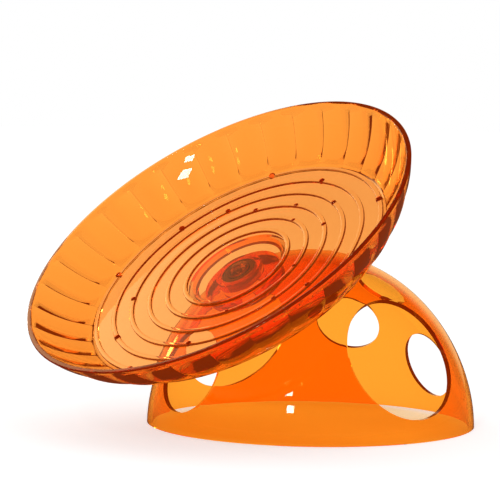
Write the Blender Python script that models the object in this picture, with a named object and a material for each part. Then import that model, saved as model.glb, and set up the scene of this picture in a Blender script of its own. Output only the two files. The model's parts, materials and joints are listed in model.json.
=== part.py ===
"""Flying saucer wheel: a fluted running saucer that spins on a tilted ball bearing over a domed hideout.

The part frame has +Z up and the saucer leaning to its low side at -Y. Lengths are metres.
The house's upright centre line and the tilted spin axis cross at the axis foot, inside the house.
"""
import math

import bmesh
import bpy
from mathutils import Matrix, Vector

# House: a dome, open underneath, whose sides grow steeper towards the floor
HOUSE_RADIUS = 0.0719
HOUSE_HEIGHT = 0.0752
HOUSE_WALL = 0.002
HOUSE_POWER = 1.85
HOUSE_SEGMENTS = 64
HOUSE_ARC_STEPS = 10

# Round doors and windows, cut square to the shell along lines from one point on the house's centre line
DOOR_CENTRE_HEIGHT = 0.005
SIDE_DOOR_RADIUS = 0.028
FRONT_DOOR_RADIUS = 0.0187
WINDOW_RADIUS = 0.016
TOP_WINDOW_RADIUS = 0.0132
DOOR_SEGMENTS = 32
# name, radius, turn from the front towards +X, height angle above the doors' centre
DOORS = (
    ("right_door", SIDE_DOOR_RADIUS, 86.0, 26.5),
    ("left_door", SIDE_DOOR_RADIUS, -97.0, 25.5),
    ("front_door", FRONT_DOOR_RADIUS, -6.5, 18.5),
    ("back_left_window", WINDOW_RADIUS, -151.5, 31.5),
    ("back_right_window", WINDOW_RADIUS, 170.5, 15.0),
    ("top_window", TOP_WINDOW_RADIUS, 173.0, 53.5),
)
# a door's cutter starts and ends at these shares of the house's radius
DOOR_CUT_SHARES = (0.7, 1.2)

# Tilted spin axis
TILT = math.radians(37.7)
AXIS_FOOT = 0.0118

# Bearing seat on the dome: the pad stands out from the dome's skin along the spin axis
PAD_RISE = 0.003
PAD_RADIUS = 0.0175
PAD_ROOT = 0.0003
CUP_RADIUS = 0.0105
CUP_HEIGHT = 0.004
LEDGE_DEPTH = 0.0063
LEDGE_BORE_RADIUS = 0.0056
LEDGE_BOSS_RADIUS = 0.0102
CUT_OVERRUN = 0.003

# Ball bearing
BEARING_BORE_RADIUS = 0.004
BEARING_RADIUS = 0.008
BEARING_WIDTH = 0.005
BALL_RADIUS = 0.0011
BALL_COUNT = 9
RACE_LAND = 0.0011
GROOVE_GAP = 0.0002
CAGE_GAP = 0.0003
CAGE_FOOT = 0.0016
CAGE_HEAD = 0.0004
SHIELD_THICKNESS = 0.0003
SHIELD_INSET = 0.0002
SHIELD_SEAT = 0.0004
SHIELD_GAP = 0.0001
BEARING_SEGMENTS = 24
GROOVE_STEPS = 3
BALL_SEGMENTS = 8
BALL_RINGS = 6
CAGE_SEGMENTS_PER_BALL = 4

# Fits
SEAT_GAP = 0.0002
RADIAL_GAP = 0.0003
SAUCER_GAP = 0.0005

# Saucer: flat deck with raised rings, and a flared wall of panels
RIM_RADIUS = 0.090
RIM_RISE = 0.0207
FOOT_RADIUS = 0.0707
DECK_THICKNESS = 0.0025
RIM_WIDTH = 0.0024
OUTER_BULGE = 0.0022
# the wall is thickest halfway up, because its inner side bulges less and starts further in
INNER_BULGE = 0.0015
INNER_FOOT_INSET = 0.002
WALL_STEPS = 7
PANEL_COUNT = 32
PANEL_DEPTH = 0.0007
STEPS_PER_PANEL = 2
RING_COUNT = 6
FIRST_RING_RADIUS = 0.0243
RING_MARGIN = 0.0034
RING_WIDTH = 0.0022
RING_HEIGHT = 0.0008
RING_CREST_SHARE = 0.4

# Round nubs on the rings
OUTER_NUB_RADIUS = 0.0016
INNER_NUB_RADIUS = 0.0008
NUB_HEIGHT = 0.0012
NUB_SINK = 0.0006
NUB_TOP_SHARE = 0.8
NUB_SEGMENTS = 10
# ring number counted from the middle, and the turns from the low side towards +X
NUB_TURNS = (
    (2, (34.0, 96.0, 165.0)),
    (3, (66.0, 137.0, 177.0, 208.0)),
    (4, (16.0, 82.0, 153.0, 226.0, 302.0)),
    (5, (176.0, 249.0, 329.0)),
    (6, (136.0, 206.0, 281.0, 355.5)),
)

# Saucer's hub: a tapered skirt and a stub shaft
SKIRT_ROOT_RADIUS = 0.0232
SKIRT_FOOT_RADIUS = 0.0213
SKIRT_DEPTH = 0.0022
SKIRT_WALL = 0.0018
SHOULDER_RADIUS = 0.005
SHAFT_SHORTFALL = 0.0002
PILOT_GAP = 0.0003
PILOT_END_GAP = 0.0003

# Hub screw and its washer
SCREW_RADIUS = 0.0013
SCREW_LENGTH = 0.0078
SCREW_HEAD_RADIUS = 0.0032
SCREW_HEAD_HEIGHT = 0.0021
SCREW_HEAD_ROUND = 0.0007
WASHER_RADIUS = 0.005
WASHER_THICKNESS = 0.0007
CROSS_REACH = 0.0018
CROSS_WIDTH = 0.0007
CROSS_DEPTH = 0.0012
SMALL_SEGMENTS = 24

MERGE_DISTANCE = 0.000001
HALVINGS = 40


def dome_radius(radius, height, share):
    """Return the dome's radius and level at a share of its height."""
    return radius * math.sqrt(1 - share**HOUSE_POWER), height * share


def skin_level():
    """Return how far up the spin axis the house's skin lies, found by halving."""
    low = 0.0
    high = (HOUSE_HEIGHT - AXIS_FOOT) / math.cos(TILT)
    for _ in range(HALVINGS):
        middle = (low + high) / 2
        share = (AXIS_FOOT + middle * math.cos(TILT)) / HOUSE_HEIGHT
        if middle * math.sin(TILT) < dome_radius(HOUSE_RADIUS, HOUSE_HEIGHT, share)[0]:
            low = middle
        else:
            high = middle
    return low


# Heights along the spin axis, from the axis foot
PAD_LEVEL = skin_level() + PAD_RISE
PAD_FOOT = PAD_LEVEL - PAD_RISE - HOUSE_WALL - PAD_ROOT
CUP_TOP = PAD_LEVEL + CUP_HEIGHT
DECK_UNDERSIDE = CUP_TOP + SAUCER_GAP
DECK_LEVEL = DECK_UNDERSIDE + DECK_THICKNESS
BEARING_TOP = CUP_TOP - SEAT_GAP
BEARING_FOOT = BEARING_TOP - BEARING_WIDTH
BEARING_MIDDLE = BEARING_TOP - BEARING_WIDTH / 2
LEDGE_TOP = BEARING_FOOT - SEAT_GAP
LEDGE_FOOT = LEDGE_TOP - LEDGE_DEPTH
WASHER_TOP = BEARING_FOOT - SEAT_GAP
HEAD_TOP = WASHER_TOP - WASHER_THICKNESS - SEAT_GAP

# The last ring lies inside the deck's edge, and the others are evenly spaced up to it
RING_PITCH = (FOOT_RADIUS - RING_MARGIN - FIRST_RING_RADIUS) / (RING_COUNT - 1)

# Bearing radii worked out from its bore, outside and balls
PITCH_RADIUS = (BEARING_BORE_RADIUS + BEARING_RADIUS) / 2
GROOVE_RADIUS = BALL_RADIUS + GROOVE_GAP
INNER_LAND_RADIUS = BEARING_BORE_RADIUS + RACE_LAND
OUTER_LAND_RADIUS = BEARING_RADIUS - RACE_LAND
CAGE_INNER_RADIUS = INNER_LAND_RADIUS + CAGE_GAP
CAGE_OUTER_RADIUS = OUTER_LAND_RADIUS - CAGE_GAP
SHAFT_RADIUS = BEARING_BORE_RADIUS - RADIAL_GAP

# The saucer's low side and the house's back are equally far from the origin
LOW_REACH = (DECK_LEVEL + RIM_RISE) * math.sin(TILT) + RIM_RADIUS * math.cos(TILT)
HOUSE_OFFSET = (LOW_REACH - HOUSE_RADIUS) / 2


def clear_scene():
    """Remove every object that the file holds."""
    for old in list(bpy.data.objects):
        bpy.data.objects.remove(old, do_unlink=True)


def make_material(name, colour, roughness, metallic=0.0, transmission=0.0):
    """Return a Principled material with a linear colour."""
    material = bpy.data.materials.new(name)
    material.use_nodes = True
    shader = material.node_tree.nodes["Principled BSDF"]
    shader.inputs["Base Color"].default_value = (*colour, 1.0)
    shader.inputs["Roughness"].default_value = roughness
    shader.inputs["Metallic"].default_value = metallic
    shader.inputs["Transmission Weight"].default_value = transmission
    return material


def make_empty(name, location, tilt=0.0, parent=None):
    """Add an empty that carries other objects."""
    empty = bpy.data.objects.new(name, None)
    bpy.context.scene.collection.objects.link(empty)
    empty.location = location
    empty.rotation_euler = (tilt, 0.0, 0.0)
    empty.parent = parent
    return empty


def make_object(name, bm, material=None, parent=None, height=0.0):
    """Turn a bmesh into an object that stands on its parent at a height along Z."""
    bmesh.ops.remove_doubles(bm, verts=bm.verts, dist=MERGE_DISTANCE)
    bmesh.ops.recalc_face_normals(bm, faces=bm.faces)
    mesh = bpy.data.meshes.new(name)
    bm.to_mesh(mesh)
    bm.free()
    obj = bpy.data.objects.new(name, mesh)
    bpy.context.scene.collection.objects.link(obj)
    obj.parent = parent
    obj.location = (0.0, 0.0, height)
    if material:
        mesh.materials.append(material)
    return obj


def make_tool(name, bm, parent=None, height=0.0):
    """Add a shape that only a Boolean uses."""
    tool = make_object(name, bm, None, parent, height)
    tool.hide_render = True
    tool.display_type = "WIRE"
    return tool


def combine(obj, tool, operation):
    """Add an exact Boolean of the tool to the object."""
    step = obj.modifiers.new(tool.name, "BOOLEAN")
    step.operation = operation
    step.solver = "EXACT"
    step.object = tool


def revolved(outline, segments, closed=True):
    """Spin an outline of (radius, height) points round Z, and return the bmesh."""
    bm = bmesh.new()
    points = [bm.verts.new((radius, 0.0, height)) for radius, height in outline]
    edges = [bm.edges.new(pair) for pair in zip(points, points[1:])]
    if closed:
        edges.append(bm.edges.new((points[-1], points[0])))
    bmesh.ops.spin(
        bm, geom=points + edges, cent=(0.0, 0.0, 0.0), axis=(0.0, 0.0, 1.0),
        angle=math.tau, steps=segments, use_merge=True,
    )
    return bm


def smooth(obj):
    """Shade a round piece smooth."""
    obj.data.shade_smooth()


def arc_points(start, end, bulge, steps):
    """Return points on an arc from start to end that bulges to the right of its chord."""
    start = Vector(start)
    end = Vector(end)
    chord = end - start
    half = chord.length / 2
    radius = (half * half + bulge * bulge) / (2 * bulge)
    outward = Vector((chord.y, -chord.x)).normalized()
    centre = (start + end) / 2 - outward * (radius - bulge)
    half_angle = math.asin(half / radius)
    points = []
    for step in range(steps + 1):
        angle = half_angle * (2 * step / steps - 1)
        along = chord.normalized() * math.sin(angle)
        points.append(centre + radius * (along + outward * math.cos(angle)))
    return [(point.x, point.y) for point in points]


def dome_arc(radius, height):
    """Return the dome's quarter curve, from its foot to its top."""
    points = []
    for step in range(HOUSE_ARC_STEPS):
        points.append(dome_radius(radius, height, math.sin(math.pi / 2 * step / HOUSE_ARC_STEPS)))
    return points + [(0.0, height)]


def house_outline():
    """Return the section of the house's shell, from its outer top down and up its inside."""
    outside = dome_arc(HOUSE_RADIUS, HOUSE_HEIGHT)
    inside = dome_arc(HOUSE_RADIUS - HOUSE_WALL, HOUSE_HEIGHT - HOUSE_WALL)
    return outside[::-1] + inside


def door_tool(name, radius, turn, climb, house_frame):
    """Return a round cutter that widens out from the doors' centre, so that it meets the shell squarely."""
    start, end = DOOR_CUT_SHARES
    slope = math.tan(math.asin(radius / HOUSE_RADIUS))
    low = HOUSE_RADIUS * start
    high = HOUSE_RADIUS * end
    outline = ((0.0, low), (low * slope, low), (high * slope, high), (0.0, high))
    bm = revolved(outline, DOOR_SEGMENTS, closed=False)
    tool = make_tool(name + "_cutter", bm, house_frame, DOOR_CENTRE_HEIGHT)
    tool.rotation_euler = (math.radians(90.0 - climb), 0.0, math.radians(turn))
    return tool


def seat_outline():
    """Return the bearing seat's section: a boss inside the house, a pad on its skin and a cup on the pad."""
    return (
        (0.0, LEDGE_FOOT),
        (LEDGE_BOSS_RADIUS, LEDGE_FOOT),
        (LEDGE_BOSS_RADIUS, PAD_FOOT),
        (PAD_RADIUS, PAD_FOOT),
        (PAD_RADIUS, PAD_LEVEL),
        (CUP_RADIUS, PAD_LEVEL),
        (CUP_RADIUS, CUP_TOP),
        (0.0, CUP_TOP),
    )


def pocket_outline():
    """Return the section of the bearing's pocket and of the narrower bore through its ledge."""
    pocket_radius = BEARING_RADIUS + RADIAL_GAP
    return (
        (0.0, LEDGE_FOOT - CUT_OVERRUN),
        (LEDGE_BORE_RADIUS, LEDGE_FOOT - CUT_OVERRUN),
        (LEDGE_BORE_RADIUS, LEDGE_TOP),
        (pocket_radius, LEDGE_TOP),
        (pocket_radius, CUP_TOP + CUT_OVERRUN),
        (0.0, CUP_TOP + CUT_OVERRUN),
    )


def build_house(material, house_frame, axis_frame):
    """Build the domed house with its bearing seat, doors and windows."""
    house = make_object(
        "hideout_dome", revolved(house_outline(), HOUSE_SEGMENTS, closed=False), material, house_frame)
    smooth(house)
    for name, radius, turn, climb in DOORS:
        combine(house, door_tool(name, radius, turn, climb, house_frame), "DIFFERENCE")
    seat = revolved(seat_outline(), HOUSE_SEGMENTS, closed=False)
    combine(house, make_tool("bearing_seat_solid", seat, axis_frame), "UNION")
    pocket = revolved(pocket_outline(), SMALL_SEGMENTS, closed=False)
    combine(house, make_tool("bearing_pocket_cutter", pocket, axis_frame), "DIFFERENCE")
    return house


def ring_radius(number):
    """Return the radius of a deck ring, counted from the middle."""
    return FIRST_RING_RADIUS + RING_PITCH * (number - 1)


def deck_outline():
    """Return the deck's upper side, from the middle over the raised rings."""
    points = [(0.0, 0.0)]
    foot = RING_WIDTH / 2
    crest = foot * RING_CREST_SHARE
    for number in range(1, RING_COUNT + 1):
        centre = ring_radius(number)
        points += [(centre - foot, 0.0), (centre - crest, RING_HEIGHT)]
        points += [(centre + crest, RING_HEIGHT), (centre + foot, 0.0)]
    return points


def wall_outline():
    """Return the wall's section, up its inside, over the rim and down its outside."""
    inner_foot = (FOOT_RADIUS - INNER_FOOT_INSET, 0.0)
    inner_rim = (RIM_RADIUS - RIM_WIDTH, RIM_RISE)
    outer_foot = (FOOT_RADIUS, -DECK_THICKNESS)
    outer_rim = (RIM_RADIUS, RIM_RISE)
    inside = arc_points(inner_foot, inner_rim, INNER_BULGE, WALL_STEPS)
    outside = arc_points(outer_foot, outer_rim, OUTER_BULGE, WALL_STEPS)
    return inside + outside[::-1]


def hub_outline():
    """Return the saucer's underside, from the tapered skirt in to the stub shaft's pilot hole."""
    under = -DECK_THICKNESS
    shoulder = BEARING_TOP + SEAT_GAP - DECK_LEVEL
    shaft_end = BEARING_FOOT + SHAFT_SHORTFALL - DECK_LEVEL
    pilot_radius = SCREW_RADIUS + PILOT_GAP
    pilot_end = HEAD_TOP + SCREW_LENGTH + PILOT_END_GAP - DECK_LEVEL
    return [
        (SKIRT_ROOT_RADIUS, under),
        (SKIRT_FOOT_RADIUS, under - SKIRT_DEPTH),
        (SKIRT_FOOT_RADIUS - SKIRT_WALL, under - SKIRT_DEPTH),
        (SKIRT_ROOT_RADIUS - SKIRT_WALL, under),
        (SHOULDER_RADIUS, under),
        (SHOULDER_RADIUS, shoulder),
        (SHAFT_RADIUS, shoulder),
        (SHAFT_RADIUS, shaft_end),
        (pilot_radius, shaft_end),
        (pilot_radius, pilot_end),
        (0.0, pilot_end),
    ]


def flute(bm):
    """Draw the outer wall in at each joint between panels, less towards its foot and its rim."""
    height = RIM_RISE + DECK_THICKNESS
    for vert in bm.verts:
        radius = math.hypot(vert.co.x, vert.co.y)
        share = (vert.co.z + DECK_THICKNESS) / height
        wall_middle = FOOT_RADIUS + (RIM_RADIUS - FOOT_RADIUS) * share
        if radius < wall_middle or not 0.0 < share < 1.0:
            continue
        turn = math.atan2(vert.co.y, vert.co.x)
        weight = math.sin(math.pi * share) ** 0.5
        depth = PANEL_DEPTH * weight * (1 - math.cos(PANEL_COUNT * turn)) / 2
        scale = (radius - depth) / radius
        vert.co.x *= scale
        vert.co.y *= scale


def nub_solids():
    """Return one bmesh with all the round nubs that stand on the rings."""
    bm = bmesh.new()
    for number, turns in NUB_TURNS:
        share = (number - 1) / (RING_COUNT - 1)
        radius = INNER_NUB_RADIUS + (OUTER_NUB_RADIUS - INNER_NUB_RADIUS) * share
        for turn in turns:
            angle = math.radians(turn)
            x = ring_radius(number) * math.sin(angle)
            y = -ring_radius(number) * math.cos(angle)
            height = NUB_HEIGHT + NUB_SINK
            place = Matrix.Translation((x, y, height / 2 - NUB_SINK))
            bmesh.ops.create_cone(
                bm, cap_ends=True, segments=NUB_SEGMENTS, radius1=radius,
                radius2=radius * NUB_TOP_SHARE, depth=height, matrix=place)
    return bm


def build_saucer(material, axis_frame):
    """Build the running saucer in one moulding with its rings, nubs, fluted wall and stub shaft."""
    outline = deck_outline() + wall_outline() + hub_outline()
    bm = revolved(outline, PANEL_COUNT * STEPS_PER_PANEL, closed=False)
    flute(bm)
    saucer = make_object("running_saucer", bm, material, axis_frame, DECK_LEVEL)
    smooth(saucer)
    combine(saucer, make_tool("nub_solids", nub_solids(), saucer), "UNION")
    return saucer


def groove_points(facing):
    """Return the ball groove's arc on the inner (-1) or outer (1) race, from low to high."""
    land = INNER_LAND_RADIUS if facing < 0 else OUTER_LAND_RADIUS
    reach = math.acos(abs(land - PITCH_RADIUS) / GROOVE_RADIUS)
    points = []
    for step in range(GROOVE_STEPS + 1):
        angle = reach * (2 * step / GROOVE_STEPS - 1)
        radius = PITCH_RADIUS + facing * GROOVE_RADIUS * math.cos(angle)
        points.append((radius, GROOVE_RADIUS * math.sin(angle)))
    return points


def build_inner_race(material, parent):
    """Build the bearing's inner race."""
    half = BEARING_WIDTH / 2
    outline = [(BEARING_BORE_RADIUS, -half), (INNER_LAND_RADIUS, -half)]
    outline += groove_points(-1)
    outline += [(INNER_LAND_RADIUS, half), (BEARING_BORE_RADIUS, half)]
    race = make_object(
        "bearing_inner_race", revolved(outline, BEARING_SEGMENTS), material, parent, BEARING_MIDDLE)
    smooth(race)


def build_outer_race(material, parent):
    """Build the bearing's outer race, stepped at both faces for its shields."""
    half = BEARING_WIDTH / 2
    step_radius = OUTER_LAND_RADIUS + SHIELD_SEAT
    step_height = half - SHIELD_INSET - SHIELD_THICKNESS - SHIELD_GAP
    outline = [(BEARING_RADIUS, -half), (step_radius, -half), (step_radius, -step_height)]
    outline += [(OUTER_LAND_RADIUS, -step_height)] + groove_points(1) + [(OUTER_LAND_RADIUS, step_height)]
    outline += [(step_radius, step_height), (step_radius, half), (BEARING_RADIUS, half)]
    race = make_object(
        "bearing_outer_race", revolved(outline, BEARING_SEGMENTS), material, parent, BEARING_MIDDLE)
    smooth(race)


def build_shield(name, side, material, parent):
    """Build a thin dust shield at the bearing's upper (1) or lower (-1) face."""
    far = side * (BEARING_WIDTH / 2 - SHIELD_INSET)
    near = far - side * SHIELD_THICKNESS
    inner = INNER_LAND_RADIUS + CAGE_GAP
    outer = OUTER_LAND_RADIUS + SHIELD_SEAT - GROOVE_GAP
    outline = ((inner, near), (outer, near), (outer, far), (inner, far))
    make_object(name, revolved(outline, BEARING_SEGMENTS), material, parent, BEARING_MIDDLE)


def ball_place(index):
    """Return a ball's place on the pitch circle."""
    angle = math.tau * index / BALL_COUNT
    return Vector((PITCH_RADIUS * math.sin(angle), -PITCH_RADIUS * math.cos(angle), 0.0))


def build_cage(material, parent):
    """Build the crown cage, open at its top where each ball snaps in."""
    outline = (
        (CAGE_INNER_RADIUS, -CAGE_FOOT),
        (CAGE_OUTER_RADIUS, -CAGE_FOOT),
        (CAGE_OUTER_RADIUS, CAGE_HEAD),
        (CAGE_INNER_RADIUS, CAGE_HEAD),
    )
    ring = revolved(outline, BALL_COUNT * CAGE_SEGMENTS_PER_BALL)
    cage = make_object("bearing_ball_cage", ring, material, parent, BEARING_MIDDLE)
    pockets = bmesh.new()
    for index in range(BALL_COUNT):
        bmesh.ops.create_uvsphere(
            pockets, u_segments=BALL_SEGMENTS, v_segments=BALL_RINGS, radius=GROOVE_RADIUS,
            matrix=Matrix.Translation(ball_place(index)))
    combine(cage, make_tool("ball_pocket_cutters", pockets, cage), "DIFFERENCE")
    return cage


def build_balls(material, cage):
    """Build the bearing's balls, each on the pitch circle."""
    for index in range(BALL_COUNT):
        bm = bmesh.new()
        bmesh.ops.create_uvsphere(
            bm, u_segments=BALL_SEGMENTS, v_segments=BALL_RINGS, radius=BALL_RADIUS)
        ball = make_object("bearing_ball_%d" % (index + 1), bm, material, cage)
        ball.location = ball_place(index)
        smooth(ball)


def bar_tool(name, length, width, parent):
    """Return one bar of the cross-shaped cutter for the screw's drive."""
    bm = bmesh.new()
    centre = Vector((0.0, 0.0, HEAD_TOP - SCREW_HEAD_HEIGHT))
    place = Matrix.LocRotScale(centre, None, Vector((length, width, CROSS_DEPTH * 2)))
    bmesh.ops.create_cube(bm, size=1.0, matrix=place)
    return make_tool(name, bm, parent)


def build_screw(material, axis_frame):
    """Build the pan-headed hub screw that holds the saucer on the inner race."""
    low = HEAD_TOP - SCREW_HEAD_HEIGHT
    outline = (
        (0.0, low),
        (SCREW_HEAD_RADIUS - SCREW_HEAD_ROUND, low),
        (SCREW_HEAD_RADIUS, low + SCREW_HEAD_ROUND),
        (SCREW_HEAD_RADIUS, HEAD_TOP),
        (SCREW_RADIUS, HEAD_TOP),
        (SCREW_RADIUS, HEAD_TOP + SCREW_LENGTH - SCREW_RADIUS),
        (0.0, HEAD_TOP + SCREW_LENGTH),
    )
    screw = make_object("hub_screw", revolved(outline, SMALL_SEGMENTS, closed=False), material, axis_frame)
    combine(screw, bar_tool("long_bar_cutter", CROSS_REACH, CROSS_WIDTH, axis_frame), "DIFFERENCE")
    combine(screw, bar_tool("wide_bar_cutter", CROSS_WIDTH, CROSS_REACH, axis_frame), "DIFFERENCE")


def build_washer(material, axis_frame):
    """Build the washer between the screw's head and the inner race."""
    bore = SCREW_RADIUS + PILOT_GAP
    low = WASHER_TOP - WASHER_THICKNESS
    outline = ((bore, low), (WASHER_RADIUS, low), (WASHER_RADIUS, WASHER_TOP), (bore, WASHER_TOP))
    make_object("hub_washer", revolved(outline, SMALL_SEGMENTS), material, axis_frame)


def main():
    """Build the whole wheel."""
    clear_scene()
    amber = make_material("clear_amber_plastic", (1.0, 0.33, 0.04), 0.04, transmission=0.9)
    steel = make_material("bearing_steel", (0.62, 0.63, 0.65), 0.18, metallic=1.0)
    nylon = make_material("cage_nylon", (0.75, 0.71, 0.62), 0.45)
    zinc = make_material("zinc_plated_steel", (0.66, 0.67, 0.69), 0.3, metallic=1.0)
    house_frame = make_empty("house_frame", (0.0, HOUSE_OFFSET, 0.0))
    axis_frame = make_empty("spin_axis", (0.0, 0.0, AXIS_FOOT), TILT, house_frame)
    build_house(amber, house_frame, axis_frame)
    build_saucer(amber, axis_frame)
    build_outer_race(steel, axis_frame)
    build_inner_race(steel, axis_frame)
    build_shield("bearing_upper_shield", 1, zinc, axis_frame)
    build_shield("bearing_lower_shield", -1, zinc, axis_frame)
    cage = build_cage(nylon, axis_frame)
    build_balls(steel, cage)
    build_washer(zinc, axis_frame)
    build_screw(zinc, axis_frame)
    bpy.context.view_layer.update()


main()
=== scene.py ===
"""Dress the flying saucer wheel: clear amber saucer and house, and the bearing between them.

Lengths are metres. The saucer, bearing and screw are modelled with the spin axis upright and the deck's
upper side at zero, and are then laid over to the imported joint's axis.
"""

import json
import logging
import math
from dataclasses import dataclass
from enum import Enum
from typing import Iterable, Optional, Sequence, Union

import bpy
from mathutils import Matrix, Quaternion, Vector

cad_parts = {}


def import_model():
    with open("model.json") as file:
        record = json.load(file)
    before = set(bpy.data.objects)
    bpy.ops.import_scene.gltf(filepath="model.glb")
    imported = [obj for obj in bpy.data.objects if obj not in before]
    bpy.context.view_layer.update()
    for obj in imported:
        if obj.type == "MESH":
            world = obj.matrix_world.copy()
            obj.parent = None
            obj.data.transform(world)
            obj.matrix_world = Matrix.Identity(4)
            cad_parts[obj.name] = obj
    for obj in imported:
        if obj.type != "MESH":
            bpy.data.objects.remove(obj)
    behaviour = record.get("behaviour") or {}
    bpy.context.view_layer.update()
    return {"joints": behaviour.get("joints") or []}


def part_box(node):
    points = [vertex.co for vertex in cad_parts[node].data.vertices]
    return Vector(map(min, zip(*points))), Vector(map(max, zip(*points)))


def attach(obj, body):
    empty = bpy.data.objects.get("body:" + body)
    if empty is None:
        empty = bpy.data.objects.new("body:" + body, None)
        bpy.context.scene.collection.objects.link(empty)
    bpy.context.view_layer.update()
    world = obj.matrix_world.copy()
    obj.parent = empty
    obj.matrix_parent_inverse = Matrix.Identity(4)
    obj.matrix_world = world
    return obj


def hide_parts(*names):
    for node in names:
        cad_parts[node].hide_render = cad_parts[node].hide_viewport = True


Point = tuple[float, float]
Tree = bpy.types.NodeTree
Socket = bpy.types.NodeSocket
Material = bpy.types.Material
Piece = bpy.types.Object
Blended = Union[float, tuple[float, float, float, float], Socket]
MILLIMETRE = 0.001
WELD = 0.000001
# edges sharper than this stay sharp in the shading, in degrees
EDGE_ANGLE = 30.0
# how far the middle of a quarter round stands off its chord, as a share of its radius
QUARTER_BULGE = 0.29
log = logging.getLogger("flying_saucer_wheel")


class Slot(Enum):
    """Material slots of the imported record."""

    AMBER = "clear_amber_plastic"
    STEEL = "bearing_steel"
    ZINC = "zinc_plated_steel"
    NYLON = "cage_nylon"


class Body(Enum):
    """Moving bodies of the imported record."""

    HOUSE = "house"
    SAUCER = "saucer"
    CAGE = "cage"


def linear(hex_colour: str) -> tuple[float, float, float, float]:
    """Turn an sRGB hex colour into a linear colour.

    Args:
        hex_colour: Six hex digits, such as "ff9a3c".

    Returns:
        The linear red, green, blue and an alpha of 1.
    """
    channels = [int(hex_colour[start:start + 2], 16) / 255 for start in (0, 2, 4)]
    values = [c / 12.92 if c <= 0.04045 else ((c + 0.055) / 1.055) ** 2.4 for c in channels]
    return values[0], values[1], values[2], 1.0


def add_node(tree: Tree, kind: str, settings: Optional[dict] = None,
             links: Optional[dict] = None) -> bpy.types.Node:
    """Add a node with its settings and the links into it.

    Args:
        tree: The node tree that gets the node.
        kind: The node's Blender type.
        settings: Values by property name, or by input name or number.
        links: Output sockets by input name or number.

    Returns:
        The new node.
    """
    node = tree.nodes.new(kind)
    for key, value in (settings or {}).items():
        if isinstance(key, str) and hasattr(node, key):
            setattr(node, key, value)
        else:
            node.inputs[key].default_value = value
    for key, socket in (links or {}).items():
        tree.links.new(socket, node.inputs[key])
    return node


def blend(tree: Tree, kind: str, share: Socket, first: Blended, second: Blended) -> Socket:
    """Blend two numbers or two colours.

    Args:
        tree: The node tree.
        kind: FLOAT for numbers or RGBA for colours.
        share: The socket that says how much of the second is taken.
        first: A value or a socket.
        second: A value or a socket.

    Returns:
        The blend's socket.
    """
    mix = add_node(tree, "ShaderNodeMix", {"data_type": kind}, {0: share})
    low, high, result = (2, 3, 0) if kind == "FLOAT" else (6, 7, 2)
    for number, value in ((low, first), (high, second)):
        if isinstance(value, Socket):
            tree.links.new(value, mix.inputs[number])
        else:
            mix.inputs[number].default_value = value
    return mix.outputs[result]


def spread(tree: Tree, value: Socket, low: float, high: float) -> Socket:
    """Return a number from 0 to 1 spread over the range from low to high."""
    span = {"To Min": low, "To Max": high}
    return add_node(tree, "ShaderNodeMapRange", span, {"Value": value}).outputs["Result"]


def ramp(tree: Tree, value: Socket, span: Point, levels: Point = (0.0, 1.0)) -> Socket:
    """Return a number that goes softly from one level to the other while the value crosses the span."""
    settings = {"From Min": span[0], "From Max": span[1], "To Min": levels[0], "To Max": levels[1],
                "interpolation_type": "SMOOTHSTEP"}
    return add_node(tree, "ShaderNodeMapRange", settings, {"Value": value}).outputs["Result"]


def mottle(tree: Tree, spacing_mm: float, detail: float) -> Socket:
    """Return a noise that is fixed to the piece, with its blotches this many millimetres apart."""
    place = add_node(tree, "ShaderNodeTexCoord")
    settings = {"Scale": 1 / (spacing_mm * MILLIMETRE), "Detail": detail}
    noise = add_node(tree, "ShaderNodeTexNoise", settings, {"Vector": place.outputs["Object"]})
    return noise.outputs["Fac"]


def new_material(name: str) -> tuple[Material, Tree, bpy.types.Node]:
    """Return a new material with its node tree and its Principled shader."""
    material = bpy.data.materials.new(name)
    material.use_nodes = True
    return material, material.node_tree, material.node_tree.nodes["Principled BSDF"]


def mirror_share(tree: Tree) -> Socket:
    """Return 1 where a surface is seen as a mirror image, and 0 where it is seen otherwise."""
    path = add_node(tree, "ShaderNodeLightPath")
    share = add_node(tree, "ShaderNodeMath", {"operation": "SUBTRACT", "use_clamp": True},
                     {0: path.outputs["Is Glossy Ray"], 1: path.outputs["Is Transmission Ray"]})
    return share.outputs["Value"]


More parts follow.
